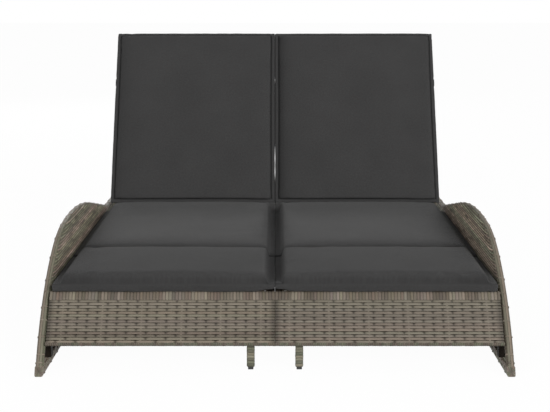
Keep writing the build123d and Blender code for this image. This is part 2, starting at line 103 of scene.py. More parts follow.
def new_material(name):
    m = bpy.data.materials.new(name)
    m.use_nodes = True
    m.node_tree.nodes.clear()
    return m, m.node_tree


def surface(nt, sockets):
    node(nt, "OutputMaterial", {0: node(nt, "BsdfPrincipled", sockets).outputs[0]})


def noise(nt, vector, scale, detail=3.0, rough=0.5):
    sockets = {"Vector": vector, "Scale": scale, "Detail": detail, "Roughness": rough}
    return node(nt, "TexNoise", sockets).outputs["Fac"]


def scaled(nt, vector, xyz):
    return node(nt, "Mapping", {"Vector": vector, "Scale": xyz}).outputs[0]


def ramp(nt, fac, a, b, lo=0.3, hi=0.7):
    """Maps fac from lo..hi to a..b."""
    return node(nt, "MapRange", {0: fac, 1: lo, 2: hi, 3: a, 4: b}).outputs[0]


def math_node(nt, op, a, b):
    return node(nt, "Math", {0: a, 1: b}, operation=op).outputs[0]


def tinted(nt, colour, factor):
    """A colour times a factor."""
    return node(nt, "VectorMath", {0: colour, "Scale": factor}, operation="SCALE").outputs[0]


def bump(nt, height, distance):
    return node(nt, "Bump", {"Distance": distance, "Height": height}).outputs[0]


def cane_material():
    """Plastic cane: the strand's own colour with its painted shade and highlight, from the tone attribute, and streaks
    along it.
    """
    m, nt = new_material("cane")
    tone = node(nt, "Attribute", attribute_name="tone").outputs["Color"]
    uv = node(nt, "UVMap").outputs[0]
    streak = noise(nt, scaled(nt, uv, (14.0, 2.6, 1.0)), 1.0, 4.0, 0.6)
    fine = noise(nt, scaled(nt, uv, (60.0, 9.0, 1.0)), 1.0, 2.0)
    streaks = math_node(nt, "ADD", ramp(nt, streak, 0.80, 1.16), ramp(nt, fine, -0.06, 0.06))
    surface(nt, {
        "Base Color": tinted(nt, tone, streaks), "Roughness": ramp(nt, streak, 0.62, 0.46),
        "Specular IOR Level": 0.2, "Normal": bump(nt, fine, 0.00045),
    })
    return m


def coat_material(name, colour, rough, grain, metallic=0.0, gloss=0.5):
    """Painted or plated metal, rubber or plastic, with a slight cloud and grain."""
    m, nt = new_material(name)
    at = node(nt, "TexCoord").outputs["Object"]
    cloud = noise(nt, at, 9.0, 5.0)
    surface(nt, {
        "Base Color": tinted(nt, colour, ramp(nt, cloud, 0.8, 1.3)),
        "Roughness": ramp(nt, cloud, rough - 0.08, rough + 0.12),
        "Metallic": metallic, "Specular IOR Level": gloss,
        "Normal": bump(nt, noise(nt, at, grain, 2.0), 0.00025),
    })
    return m


def cloth_material(name, colour, thread):
    """Plain-woven cloth: two crossed sets of threads in the bump, and a slight mottle."""
    m, nt = new_material(name)
    uv = node(nt, "UVMap").outputs[0]
    threads = scaled(nt, uv, (thread, thread, 1.0))
    waves = [
        node(
            nt, "TexWave", {"Vector": threads, "Scale": 1.0, "Distortion": 0.6, "Detail": 2.0},
            bands_direction=direction,
        ).outputs["Fac"]
        for direction in ("X", "Y")
    ]
    weave = math_node(nt, "MULTIPLY", *waves)
    mottle = noise(nt, uv, 160.0, 4.0, 0.7)
    broad = noise(nt, uv, 7.0, 3.0)
    f = math_node(nt, "ADD", ramp(nt, mottle, 0.82, 1.12), ramp(nt, broad, -0.05, 0.07))
    f = math_node(nt, "ADD", f, ramp(nt, weave, -0.10, 0.12, 0.0, 1.0))
    # On the cushions the tone attribute holds painted shade and highlight: in seams and valleys, towards edges, and a
    # painted shadow of the arm.
    tone = node(nt, "Attribute", attribute_name="tone").outputs["Fac"]
    surface(nt, {
        "Base Color": tinted(nt, colour, math_node(nt, "MULTIPLY", f, tone)), "Roughness": 0.9,
        "Sheen Weight": 0.09, "Sheen Roughness": 0.5, "Specular IOR Level": 0.08,
        "Normal": bump(nt, math_node(nt, "ADD", weave, mottle), 0.0004),
    })
    return m


CANE = cane_material()
STEEL = coat_material("black steel", (0.012, 0.0095, 0.007), 0.62, 900.0, gloss=0.06)
ZINC = coat_material("zinc steel", (0.55, 0.55, 0.54), 0.35, 1200.0, 1.0)
RUBBER = coat_material("rubber", (0.020, 0.020, 0.020), 0.75, 700.0)
PLASTIC = coat_material("black plastic", (0.016, 0.016, 0.016), 0.38, 500.0)
FABRIC = cloth_material("cushion fabric", (0.0468, 0.0463, 0.0463), 2600.0)
BAND = cloth_material("elastic band", (0.030, 0.030, 0.030), 1600.0)


# ---- meshes

def make_object(name, verts, quads, uv, tone, material, side=1):
    """One mesh from arrays in millimetres; the left lounger is the mirrored right one."""
    verts = np.asarray(verts, dtype=np.float64) * (side, 1.0, 1.0) * 0.001
    quads = np.asarray(quads, dtype=np.int32)
    if side < 0:
        quads = quads[:, ::-1]
    mesh = bpy.data.meshes.new(name)
    mesh.vertices.add(len(verts))
    mesh.vertices.foreach_set("co", verts.astype(np.float32).ravel())
    mesh.loops.add(quads.size)
    mesh.loops.foreach_set("vertex_index", np.ascontiguousarray(quads).ravel())
    mesh.polygons.add(len(quads))
    mesh.polygons.foreach_set("loop_start", np.arange(0, quads.size, 4, dtype=np.int32))
    mesh.polygons.foreach_set("use_smooth", np.ones(len(quads), dtype=bool))
    mesh.update(calc_edges=True)
    layer = mesh.uv_layers.new(name="UVMap")
    layer.data.foreach_set("uv", np.asarray(uv, dtype=np.float32)[quads.ravel()].ravel())
    colour = mesh.color_attributes.new("tone", "FLOAT_COLOR", "POINT")
    rgba = np.concatenate([tone, np.ones((len(verts), 1))], axis=1)
    colour.data.foreach_set("color", rgba.astype(np.float32).ravel())
    mesh.materials.append(material)
    obj = bpy.data.objects.new(name, mesh)
    bpy.context.collection.objects.link(obj)
    return obj


def settle(obj, side, node_name, body):
    """Puts a piece in the place of one side's node, on that side's body or the base."""
    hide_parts(TAGS[side] + node_name)
    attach(obj, body if body == "base" else TAGS[side] + body)


def unit(v):
    return v / np.maximum(np.linalg.norm(v, axis=-1, keepdims=True), 1e-9)


def lengths(points):
    """How far along a line each of its points is."""
    return np.concatenate([[0.0], np.cumsum(np.linalg.norm(np.diff(points, axis=0), axis=1))])


def at_lengths(want, along, points):
    return np.stack([np.interp(want, along, q) for q in points.T], -1)


def tube_quads(rings, m, closed=False):
    """Faces between rings of m points."""
    i, j = np.arange(rings if closed else rings - 1)[:, None], np.arange(m)[None, :]
    a, b = i * m, (i + 1) % rings * m
    return np.stack([a + j, a + (j + 1) % m, b + (j + 1) % m, b + j], -1).reshape(-1, 4)


# Order of a face's corners that turns it over and keeps its first corner
TURNED = [0, 3, 2, 1]


def step_up(x, start, run):
    f = np.clip((x - start) / run, 0, 1)
    return f * f * (3 - 2 * f)


def bell(x, middle, half, soft):
    """One within half of the middle, and zero beyond a soft edge."""
    return 1 - step_up(np.abs(x - middle), half, soft)


# ---- outlines: points and outward normals of a bar's section, in order round it

# A wound or laid strand has a groove, a flank, a crown and a flank, at these shares of its width
LAID = np.array([0.0, 0.16, 0.5, 0.84])


def laid_shares(strands):
    place = np.arange(strands * 4)
    return (place // 4 + LAID[place % 4]) / strands


def disc(radius, angles):
    normals = np.stack([np.cos(angles), np.sin(angles)], 1)
    return normals * radius, normals


def circle(radius, m=18):
    return disc(radius, 2 * pi * np.arange(m) / m)


def resampled(points, normals, shares):
    """The same closed outline, with points at the given shares of its length."""
    points, normals = (np.concatenate([q, q[:1]]) for q in (points, normals))
    along = lengths(points)
    want = shares * along[-1]
    return at_lengths(want, along, points), unit(at_lengths(want, along, normals))


def rounded_box(width, height, radius, per_corner, per_side):
    points, normals = [], []
    hw, hh = width / 2 - radius, height / 2 - radius
    corners = ((1, 1), (-1, 1), (-1, -1), (1, -1))
    for q, (sx, sy) in enumerate(corners):
        for i in range(per_corner + 1):
            a = (q + i / per_corner) * pi / 2
            n = np.array([cos(a), sin(a)])
            points.append(np.array([sx * hw, sy * hh]) + n * radius)
            normals.append(n)
        last, (sx, sy) = points[-1], corners[(q + 1) % 4]
        goal = np.array([sx * hw, sy * hh]) + n * radius
        for i in range(1, per_side):
            points.append(last + (goal - last) * i / per_side)
            normals.append(n)
    return np.array(points), np.array(normals)


def band_section():
    """Outline of the wraps that go round the deck's front tube and the apron's upper edge."""
    up, out = band_foot + 6.0, -6.2
    y = apron_foot[1] + up * sin(apron_lean) - out * cos(apron_lean) - deck_front_y
    z = apron_foot[2] + up * cos(apron_lean) + out * sin(apron_lean) - deck_z
    discs = ((0.0, 0.0, deck_r), (z, -y, apron_thick / 2))
    _, normals = circle(1.0, 40)
    reach = np.stack([normals @ np.array([cx, cy]) + r for cx, cy, r in discs], 1)
    widest = np.array(discs)[reach.argmax(1)]
    return resampled(widest[:, :2] + normals * widest[:, 2:], normals, np.arange(30) / 30)


# ---- cane

# A strand's section: across and up, in shares of its width and thickness
RIBBON = np.array([(-0.5, 0.0), (-0.40, 0.72), (0.0, 1.0), (0.40, 0.72), (0.5, 0.0), (0.0, -0.1)])


class Cane:
    """Collects strands and wrapped tubes of one piece."""

    def __init__(self, side, seed):
        self.side = side
        self.rng = np.random.default_rng(seed)
        self.parts = []
        self.count = 0

    def tones(self, count, palette, runs, jitter=0.10):
        """One colour for each strand, in runs of like strands."""
        colours, last = [], -1
        while len(colours) < count:
            pick = self.rng.integers(len(palette))
            if pick == last:
                continue
            last = pick
            for _ in range(self.rng.integers(runs[0], runs[1] + 1)):
                shade = (1 + self.rng.normal(0, jitter)) * (1 + self.rng.normal(0, 0.02, 3))
                colours.append(palette[pick] * shade)
        return np.clip(np.array(colours[:count]), 0.02, 0.6)

    def add(self, verts, quads, u, v, tone):
        verts = verts.reshape(-1, 3)
        self.parts.append((verts, quads + self.count, np.stack([u, v], 1), tone.reshape(-1, 3)))
        self.count += len(verts)

    def strand(self, path, normal, tone, width, thick=strand_t, closed=False, edge=0.72, flank=0.96, crown=1.0):
        """A strand whose flat back lies on the path, with its face along the normals."""
        normal = unit(np.broadcast_to(normal, path.shape))
        if closed:
            run = np.roll(path, -1, 0) - np.roll(path, 1, 0)
        else:
            run = np.gradient(path, axis=0)
        across = unit(np.cross(run, normal))[:, None, :]
        k, n = len(RIBBON), len(path)
        ring = path[:, None, :] + across * (RIBBON[:, :1] * width) + normal[:, None, :] * (RIBBON[:, 1:] * thick)
        u = np.repeat(lengths(path) * 0.001, k)
        v = np.tile(RIBBON[:, 0] + 40.0 * self.rng.random(), n)
        quads = tube_quads(n, k, closed)
        if not closed:
            e = (n - 1) * k
            caps = [(5, 2, 1, 0), (5, 4, 3, 2), (e, e + 1, e + 2, e + 5), (e + 2, e + 3, e + 4, e + 5)]
            quads = np.concatenate([quads, caps])
        # Painted shade and highlight across the strand: edge, flank and crown set the tone from its sides to its
        # middle, and its back is painted at half tone as shade.
        shade = np.array([edge, flank, crown, flank, edge, 0.5])
        self.add(ring, quads, u, v, np.broadcast_to(tone, (n, 3))[:, None, :] * shade[None, :, None])

    def wrapped(self, start, end, section, facing, tones, tilt=0.5, lap=pitch, depth=0.9, under=0.0):
        """A straight tube with strands wound round it; under paints shade on its lower side."""
        start, end = np.asarray(start, float), np.asarray(end, float)
        axis = unit(end - start)
        length = np.linalg.norm(end - start)
        points, normals = section
        m = len(points)
        wraps = max(1, int(round(length / lap)))
        step = length / wraps
        wound = np.array([0.0, 0.13, 0.5, 0.87])
        sink = np.array([-1.0, -0.22, 0.0, -0.22]) * depth
        # Painted shade: each wrap's groove is painted at a third of its tone, and its flanks a little darker than its
        # crown.
        shade = np.array([0.34, 0.92, 1.0, 0.92])
        along = np.append(((np.arange(wraps)[:, None] + wound) * step).ravel(), length)
        sinks = np.append(np.tile(sink, wraps), sink[0])
        shades = np.append(np.tile(shade, wraps), shade[0])
        sinks[:-1] += np.repeat(self.rng.normal(0, 0.16, wraps), 4) * (sinks[:-1] > sink[0])
        angle = 2 * pi * np.arange(m) / m
        place = np.clip(along[:, None] + tilt * step * np.cos(angle), 0.0, length)
        place[0], place[-1] = -0.3, length
        offs = points + normals * sinks[:, None, None]
        ring = start + axis * place[:, :, None] + facing * offs[:, :, :1] + np.cross(axis, facing) * offs[:, :, 1:]
        colour = np.repeat(tones[:wraps], 4, axis=0)
        colour = np.concatenate([colour, colour[-1:]]) * shades[:, None]
        low = 1 - under * step_up(-points[:, 0], 2.0, 11.0)
        u = np.tile(angle * 0.012, len(along)) + np.repeat(along, m) * 0.037
        v = np.repeat(along / step, m)
        self.add(ring, tube_quads(len(along), m), u, v, colour[:, None, :] * low[None, :, None])

    def finish(self, name, node_name, body="base", shape=None, material=CANE, slot="cane"):
        """Makes the piece; what isn't cane has no tones of its own."""
        verts, quads, uv, tones = (np.concatenate(q) for q in zip(*self.parts))
        if shape is not None:
            verts = shape(verts)
        if material is not CANE:
            tones = np.ones_like(tones)
        obj = make_object(TAGS[self.side] + name, verts, quads, uv, tones, material, self.side)
        settle(obj, self.side, node_name, body)


def sheet_weave(
    cane, origin, ex, ey, en, rows, stakes, tones, amount,
    bend=None, mottle=0.0, dark_ends=0.0, width=strand_w, **shades,
):
    """Strands along ex that pass over and under stakes along ey; en is the sheet's face.

    rows holds (place along ey, start, end) and stakes holds (place along ex, start, end).
    """
    first, first_row, square = stakes[0][0], rows[0][0], 2.6
    for j, (b, a0, a1) in enumerate(rows):
        n = max(2, int(round((a1 - a0) / stake_pitch * 4)) + 1)
        a = np.linspace(a0, a1, n)
        wave = np.cos(pi * (a - first) / stake_pitch) * (1 if j % 2 else -1)
        h = amount * np.tanh(square * wave) / np.tanh(square) - strand_t / 2
        path = origin + ex * a[:, None] + ey * (b + cane.rng.normal(0, 0.12)) + en * h[:, None]
        if bend is not None:
            path = bend(path)
        patch = np.clip(((a - first) / stake_pitch + 0.5 * (j % 2)) / 2, 0, None).astype(int)
        blotch = np.clip(1 + mottle * cane.rng.normal(size=patch.max() + 1), 0.4, 1.8)[patch]
        # dark_ends paints shade on each strand near its ends, where it turns in.
        ends = 1 - dark_ends * np.exp(-((np.minimum(a - a0, a1 - a) / 14.0) ** 2))
        cane.strand(path, en, tones[j] * (blotch * ends)[:, None], width, **shades)
    for k, (a, b0, b1) in enumerate(stakes):
        b = np.linspace(b0, b1, max(2, int(round((b1 - b0) / pitch * 2)) + 1))
        h = 0.35 * np.cos(pi * (b - first_row) / pitch + pi * k) - stake_t / 2
        path = origin + ex * (a + cane.rng.normal(0, 0.25)) + ey * b[:, None] + en * h[:, None]
        if bend is not None:
            path = bend(path)
        cane.strand(path, en, MID * (1 + cane.rng.normal(0, 0.18)), stake_w, stake_t)


def flat_weave(cane, a0, a1, b0, b1, z, amount):
    """A level sheet inside a frame."""
    count = int((b1 - b0) / pitch)
    rows = [(b0 + (i + 0.5) * (b1 - b0) / count, a0, a1) for i in range(count)]
    stakes = [(a, b0, b1) for a in np.arange(a0 + 16.0, a1 - 8.0, stake_pitch)]
    tones = cane.tones(count, [MID, DARK, GREEN], (1, 3))
    sheet_weave(cane, Z * z, X, Y, Z, rows, stakes, tones, amount)


def panel_weave(cane, origin, ex, ey, en, width, height):
    """A closed woven panel: each strand runs round it, over its face, its ends and its back."""
    # The right lounger's strands are painted 8% darker: painted shade that evens out the key lamp on the right.
    painted_key_side_shade = 1.0 if cane.side < 0 else 0.92
    palette = [LIGHT * 0.70 * painted_key_side_shade, LIGHT * 0.65 * painted_key_side_shade, LIGHT * 0.75 * painted_key_side_shade, MID * 0.72 * painted_key_side_shade]
    tones = cane.tones(40, palette, (1, 2), 0.03)
    thick = apron_thick
    r = thick / 2 - 1.25 - strand_t / 2
    flat = width - thick
    half_turn = pi * r
    total = 2 * flat + 2 * half_turn
    count = int(round(total / (2 * stake_pitch)))
    phases = np.array([0, 0.035, 0.075, 0.14, 0.25, 0.36, 0.425, 0.465])
    phases = np.concatenate([phases, phases + 0.5])
    t = (np.arange(count)[:, None] + phases).ravel() * total / count - half_turn / 2
    knots = np.cumsum([0.0, flat, half_turn, flat, half_turn])
    turned = np.interp(t % total, knots, (0.0, 0.0, pi, pi, 2 * pi))
    west, east = thick / 2, width - thick / 2
    nx, nd = np.sin(turned), np.cos(turned)
    x = np.interp(t % total, knots, (west, east, east, west, west)) + r * nx
    base = origin + ex * x[:, None] + en * (r * nd - thick / 2)[:, None]
    normal = ex * nx[:, None] + en * nd[:, None]
    turn = (t + half_turn / 2) / total * count
    near_end = np.clip((np.minimum(x, width - x) - thick * 0.6) / 14.0, 0, 1)
    rows = int(height / pitch)
    gap = height / rows
    for j in range(rows):
        b = (j + 0.5) * gap + cane.rng.normal(0, 0.12)
        shift = (turn + 0.5 * (j % 2)) % 1.0
        away = np.minimum(shift, 1 - shift) * 2 * stake_pitch
        dip = np.exp(-((away / 4.6) ** 2)) * near_end
        crossing = 0.62 - 2.3 * dip - 0.25 * np.cos(2 * pi * shift)
        h = near_end * crossing + (1 - near_end) * 0.9 - strand_t / 2
        # Painted shade: darker at each under-crossing, and at half tone where the strands turn round the panel's ends.
        dark = (1 - 0.62 * np.exp(-((away / 3.6) ** 2)) * near_end) * (0.5 + 0.5 * near_end)
        path = base + ey * b + normal * h[:, None]
        cane.strand(path, normal, tones[j] * dark[:, None], gap - 0.45, closed=True, edge=0.66, flank=0.95, crown=1.05)
    step = total / (2 * count)
    b = np.linspace(0.5, height - 0.5, rows * 2 + 1)
    for k in range(int(flat / step) + 1):
        # Stakes show only in the notches: most are painted dark for the shade there, and every fourth is light.
        tone = MID * 0.5 if k % 4 != 1 else LIGHT * 0.95
        h = r + 0.2 * np.cos(pi * b / gap + pi * k) - 0.35 - stake_t / 2
        a = thick / 2 - half_turn / 2 + (k + 0.5) * step
        for face in (1, -1):
            out = (face * h - thick / 2)[:, None]
            path = origin + ex * (a + cane.rng.normal(0, 0.4)) + ey * b[:, None] + en * out
            cane.strand(path, en * face, tone * (1 + cane.rng.normal(0, 0.12)), stake_w, stake_t)


def lengthwise(cane, centre, up, outline, tones, tie_shift, first_ties=()):
    """Strands laid along a bar, with ties round it. centre and up hold a row per point."""
    points, normals = outline
    m, n = len(points), len(centre)
    lobe, inside = np.divmod(np.arange(m), 4)
    sink = np.array([-1.0, -0.18, 0.0, -0.18])[inside]
    # The grooves between the strands are painted at 0.4 of their tone, as painted shade.
    colour = tones[lobe] * np.where(inside == 0, 0.40, 1.0)[:, None]
    offs = points + normals * sink[:, None]
    ring = centre[:, None, :] + X * offs[:, :1] + up[:, None, :] * offs[:, 1:]
    along = lengths(centre)
    v = lobe * 3.7 + inside / 4
    cane.add(ring, tube_quads(n, m)[:, TURNED], np.repeat(along * 0.001, m), np.tile(v, n), np.tile(colour, (n, 1)))
    # a rounded end: rings that draw in and push out, painted darker towards the middle as shade where the strands fold
    # in
    share, push, dim = np.array([(1.0, 0.93, 0.55, 0.02), (-0.2, 0.9, 1.3, 1.4), (1.0, 0.75, 0.55, 0.35)])[:, :, None, None]
    for at, beside in ((0, 1), (n - 1, n - 2)):
        out = unit(np.cross(up[at], X))
        out = out * np.sign(np.dot(out, centre[at] - centre[beside]))
        shells = centre[at] + X * (points[:, :1] * share) + up[at] * (points[:, 1:] * share) + out * push
        cap = tube_quads(4, m)[:, TURNED][:, ::1 if at else -1]
        cane.add(shells, cap, *np.tile(points * 0.004, (4, 1)).T, colour * dim)
    tie_gap = 47.0
    count = int((along[-1] - tie_shift) / tie_gap) + 1
    places = list(first_ties) + [tie_shift + t * tie_gap + cane.rng.normal(0, 1.5) for t in range(count)]
    for t, place in enumerate(places):
        c, u = at_lengths(place, along, centre), unit(at_lengths(place, along, up))
        over = np.where((lobe + t) % 2 == 0, 1.15, -0.9)
        over = (over + np.roll(over, 1) + np.roll(over, -1)) / 3
        offs = points + normals * (over - 0.8)[:, None]
        path = c + X * offs[:, :1] + u * offs[:, 1:]
        normal = X * normals[:, :1] + u * normals[:, 1:]
        tone = (MID if t % 3 else LIGHT * 0.8) * (1 + cane.rng.normal(0, 0.12))
        cane.strand(path, normal, tone, 5.6, 1.3, closed=True)


# ---- the side tube's line, in the side view (s, z)

def arm_line(inset, step=9.0):
    """Points along the side tube, inset from its outer edge."""
    first = radians(outline_arcs[0][1])
    points = [np.array([inset * sin(first), pad_height - inset * cos(first)])]

    def arc(start, stop, radius):
        """Goes on round an arc that turns down, or up where the radius is negative."""
        p = points.pop()
        angles = np.linspace(start, stop, max(3, int(abs(start - stop) * abs(radius) / step)) + 1)
        centre = p + radius * np.array([sin(start), -cos(start)])
        points.extend(centre + radius * np.stack([-np.sin(angles), np.cos(angles)], 1))

    def straight(move):
        p = points.pop()
        n = int(hypot(*move) / step)
        points.extend(p + np.array(move) * i / n for i in range(n + 1))

    for radius, start, stop in outline_arcs:
        arc(radians(start), radians(stop), radius - inset)
    fall = radians(-outline_arcs[-1][2])
    ease = ease_radius + inset
    drop = points[-1][1] - (rear_rail_top - inset) - ease * (1 - cos(fall))
    straight((drop / tan(fall), -drop))
    arc(-fall, 0.0, -ease)
    straight((2 * half_length - rear_corner_radius - points[-1][0], 0.0))
    arc(0.0, -pi / 2, rear_corner_radius - inset)
    straight((0.0, runner_top - points[-1][1]))
    points = np.array(points)
    first = int(np.argmax(points[:, 1] >= runner_top - 1e-6))
    a, b = points[first - 1], points[first]
    start = a + (b - a) * (runner_top - a[1]) / (b[1] - a[1])
    return np.concatenate([[start], points[first:]])


def level_rows(line, first, stop, lift=0.0, inset=0.0):
    """Rows (z, start, end) of level strands under an arm line."""
    peak = int(np.argmax(line[:, 1]))
    rows = []
    for z in np.arange(first, stop, pitch):
        ahead = np.interp(z + lift, line[:peak + 1, 1], line[:peak + 1, 0])
        behind = np.interp(-z - lift, -line[peak:, 1], line[peak:, 0])
        rows.append((z, max(ahead + inset, 96.0), behind - inset))
    return rows


def raised(points):
    """Turns points that were laid with the backrest flat to the raised backrest."""
    out = np.array(points, dtype=float)
    y, z = out[..., 1] - hinge_y, out[..., 2] - hinge_z
    out[..., 1] = y * cos(recline) - z * sin(recline) + hinge_y
    out[..., 2] = y * sin(recline) + z * cos(recline) + hinge_z
    return out


# ---- one lounger in cane

band_foot = 136.5
panel_end = 2 * half_length - tube_d - 2
apron_width = side_inner_x - 0.3
deck_x1 = side_inner_x - 0.6
weave_lap = 5.0


def arm(cane):
    line = arm_line(tube_d / 2)
    foot_run, tail_run = unit(line[0] - line[1]), unit(line[-1] - line[-2])
    foot = [line[0] + foot_run * 11.0, line[0] + foot_run * 5.5]
    line = np.concatenate([foot, line, [line[-1] + tail_run * 8.0]])
    grad = unit(np.gradient(line, axis=0))
    up = np.stack([np.zeros(len(line)), -grad[:, 1], grad[:, 0]], 1)
    centre = np.stack([np.full(len(line), tube_x), line[:, 0] - half_length, line[:, 1]], 1)
    tones = cane.tones(8, [MID, GREEN, DARK], (1, 2))
    lengthwise(cane, centre, up, disc(tube_d / 2, 2 * pi * laid_shares(8)), tones, 90.0, (14.0, 38.0))
    cane.finish("arm_cane", "side_tube")


def runner(cane):
    height = runner_top - pad_height
    lean = height / tan(radians(outline_arcs[0][1]))
    n = 230
    y = np.linspace(3.0, 2 * half_length - 2.0, n) - half_length
    centre = np.stack([np.full(n, tube_x), y, np.full(n, (runner_top + pad_height) / 2)], 1)
    outline = resampled(*rounded_box(tube_d, height, 4.0, 8, 12), laid_shares(12))
    tones = cane.tones(12, [MID * 1.25, PINK * 1.15, GREEN * 1.3], (1, 2))
    lengthwise(cane, centre, np.tile(Z, (n, 1)), outline, tones, 35.0)

    def slanted(verts):
        front = np.clip(1 - (verts[:, 1] + half_length) / 60.0, 0, 1)
        verts[:, 1] += front * (verts[:, 2] - pad_height) / height * lean
        return verts

    cane.finish("runner_cane", "runner", shape=slanted)


def side_panel(cane):
    top = arm_line(tube_d - 3.0, 4.0)
    rows = level_rows(top, runner_top + pitch / 2, top[:, 1].max() - 2.0)
    tones = cane.tones(len(rows), [PINK, GREEN, MID * 0.9], (2, 4))
    stakes = [
        (a, runner_top - 2.0, np.interp(a, top[:, 0], top[:, 1]))
        for a in np.arange(112.0, panel_end, stake_pitch)
    ]
    sheet_weave(cane, (tube_x, -half_length, 0.0), Y, Z, -X, rows, stakes, tones, 0.75)

    # the skin on the inner side, from the deck up and over the arm
    outer = arm_line(0.0, 4.0)
    slope = unit(np.gradient(outer, axis=0))[:, 0]
    r = tube_d / 2
    skin_x = side_inner_x - skin_gap

    def over_arm(path):
        s = path[:, 1] + half_length
        gap = (np.interp(s, outer[:, 0], outer[:, 1]) - path[:, 2]) * np.interp(s, outer[:, 0], slope)
        round_x = tube_x - np.sqrt(r ** 2 - (r - np.clip(gap, 0.0, r)) ** 2) - skin_gap
        path[:, 0] += round_x - skin_x
        return path

    rows = level_rows(outer, 217.5, outer[:, 1].max() - 3.0, 1.5, 2.0)
    stakes = [
        (a, 213.5, np.interp(a, outer[:, 0], outer[:, 1]) - 1.5)
        for a in np.arange(126.0, panel_end, stake_pitch)
    ]
    stakes = [q for q in stakes if q[2] > q[1] + 8]
    # Painted light: the skin's strands are 24% lighter than the same cane elsewhere, for the weak grazing light on the
    # arm's inner face, and edge, flank and crown paint a strong highlight on each strand's crown and shade at its
    # edges.
    tones = cane.tones(len(rows), [PINK * 1.24, GREEN * 1.24], (3, 4), 0.13)
    sheet_weave(
        cane, (skin_x, -half_length, 0.0), Y, Z, -X, rows, stakes, tones, 0.25,
        over_arm, 0.28, 0.5, 7.6, edge=0.12, flank=0.62, crown=2.4,
    )
    cane.finish("side_weave", "side_panel")


def front_apron(cane):
    up = np.array((0.0, sin(apron_lean), cos(apron_lean)))
    out = np.array((0.0, -cos(apron_lean), sin(apron_lean)))
    foot, lap = 7.0, 1.4
    panel_weave(cane, apron_foot + up * foot - X * lap, X, up, out, apron_width + lap, band_foot + 3.0 - foot)
    edge = cane.tones(120, [GREEN * 0.74, MID * 0.6], (2, 6))
    start = apron_foot + (up - out) * apron_thick / 2
    cane.wrapped(start, start + X * apron_width, circle(apron_thick / 2, 12), Z, edge, 0.15, 6.3, 1.2)
    cane.finish("front_apron_weave", "front_apron")


def rear_apron(cane):
    panel_weave(cane, np.array((apron_width, half_length, 91.0)), -X, Z, Y, apron_width + 1.4, 96.0)
    edge = cane.tones(90, [GREEN, MID * 0.9], (2, 6))
    start = np.array((0.0, half_length - apron_thick / 2, 90.0))
    cane.wrapped(start, start + X * apron_width, circle(apron_thick / 2, 12), Z, edge)
    cane.finish("rear_apron_weave", "rear_apron")


def deck_frame(cane):
    y0, y1 = deck_front_y, deck_rear_y
    band = cane.tones(90, [LIGHT * 0.84, LIGHT * 0.72, MID * 0.7, MID * 0.85, PINK * 0.82], (1, 5), 0.09)
    # The band's wraps are painted darker on their lower side (the last argument), as shade, besides the groove shade
    # that wrapped paints.
    cane.wrapped((0, y0, deck_z), (deck_x1, y0, deck_z), band_section(), Z, band, 0.05, 9.3, 1.7, 0.45)
    band = cane.tones(90, [MID, GREEN], (1, 4))
    cane.wrapped((0, y1, deck_z), (deck_x1, y1, deck_z), circle(deck_r), Z, band)
    for x in (deck_r, deck_x1 - deck_r):
        band = cane.tones(140, [MID, GREEN, DARK], (1, 4))
        cane.wrapped((x, y0 + deck_r, deck_z), (x, y1 - deck_r, deck_z), circle(deck_r, 14), Z, band)
    cane.finish("deck_frame_cane", "deck_frame")


def deck(cane):
    inner = 2 * deck_r - weave_lap
    ends = deck_r - weave_lap
    flat_weave(cane, inner, deck_x1 - inner, deck_front_y + ends, deck_rear_y - ends, 209.75, 0.7)
    cane.finish("deck_strands", "deck_weave")


def inner_legs(cane):
    for s, top_z in ((80.5, 92.7), (2005.2, 94.0)):
        leg = cane.tones(20, [GREEN * 1.35, GREEN * 1.1, GREEN * 0.85], (1, 1), 0.12)
        ends = ((70.0, s - half_length, z) for z in (9.0, top_z))
        cane.wrapped(*ends, rounded_box(23.0, 23.0, 4.0, 3, 2), -Y, leg, 0.15, pitch, 1.7)
    cane.finish("leg_cane", "inner_legs")


def back_frame(cane):
    tubes = [((x, -9.0), (x, back_reach - 4.0)) for x in (back_x[0] + deck_r, back_x[1] - deck_r)]
    tubes += [((back_x[0] + 18.0, u), (back_x[1] - 18.0, u)) for u in (*back_rungs, back_reach - deck_r)]
    for ends in tubes:
        band = cane.tones(120, [MID, GREEN, DARK], (1, 3))
        cane.wrapped(*((x, hinge_y + u, hinge_z) for x, u in ends), circle(deck_r, 16), Z, band)
    cane.finish("back_frame_cane", "back_frame", "back", raised)


def back_weave(cane):
    inner = 2 * deck_r - weave_lap
    low, high = back_rungs
    for u0, u1 in ((low + 7.5, high - 9.0), (high + 9.0, back_reach - inner)):
        flat_weave(cane, back_x[0] + inner, back_x[1] - inner, hinge_y + u0, hinge_y + u1, hinge_z + 9.75, 0.9)
    cane.finish("back_strands", "back_weave", "back", raised)


PIECES = (
    arm, runner, side_panel, front_apron, rear_apron, deck_frame, deck, inner_legs, back_frame, back_weave,
)
for side, seed in ((1, 100), (-1, 200)):
    for place, dress in enumerate(PIECES, 1):
        dress(Cane(side, seed + place))


# ---- cushions, each in a flat frame of its own: west is the seam's side, south the foot end

edge_steps = (0.0, 1.2, 3.6, 7.5, 11.0, 14.0, 17.0, 20.0, 23.5, 27.0, 31.0, 36.0)
cushion_cell = 9.0
WEST, EAST, SOUTH, NORTH = range(4)


def spaced(a, b):
    """Places from a to b, close together near both ends."""
    first, last = a + edge_steps[-1], b - edge_steps[-1]
    middle = np.linspace(first, last, int((last - first) / cushion_cell) + 1)
    near = np.array(edge_steps[:-1])
    return np.concatenate([a + near, middle, (b - near)[::-1]])


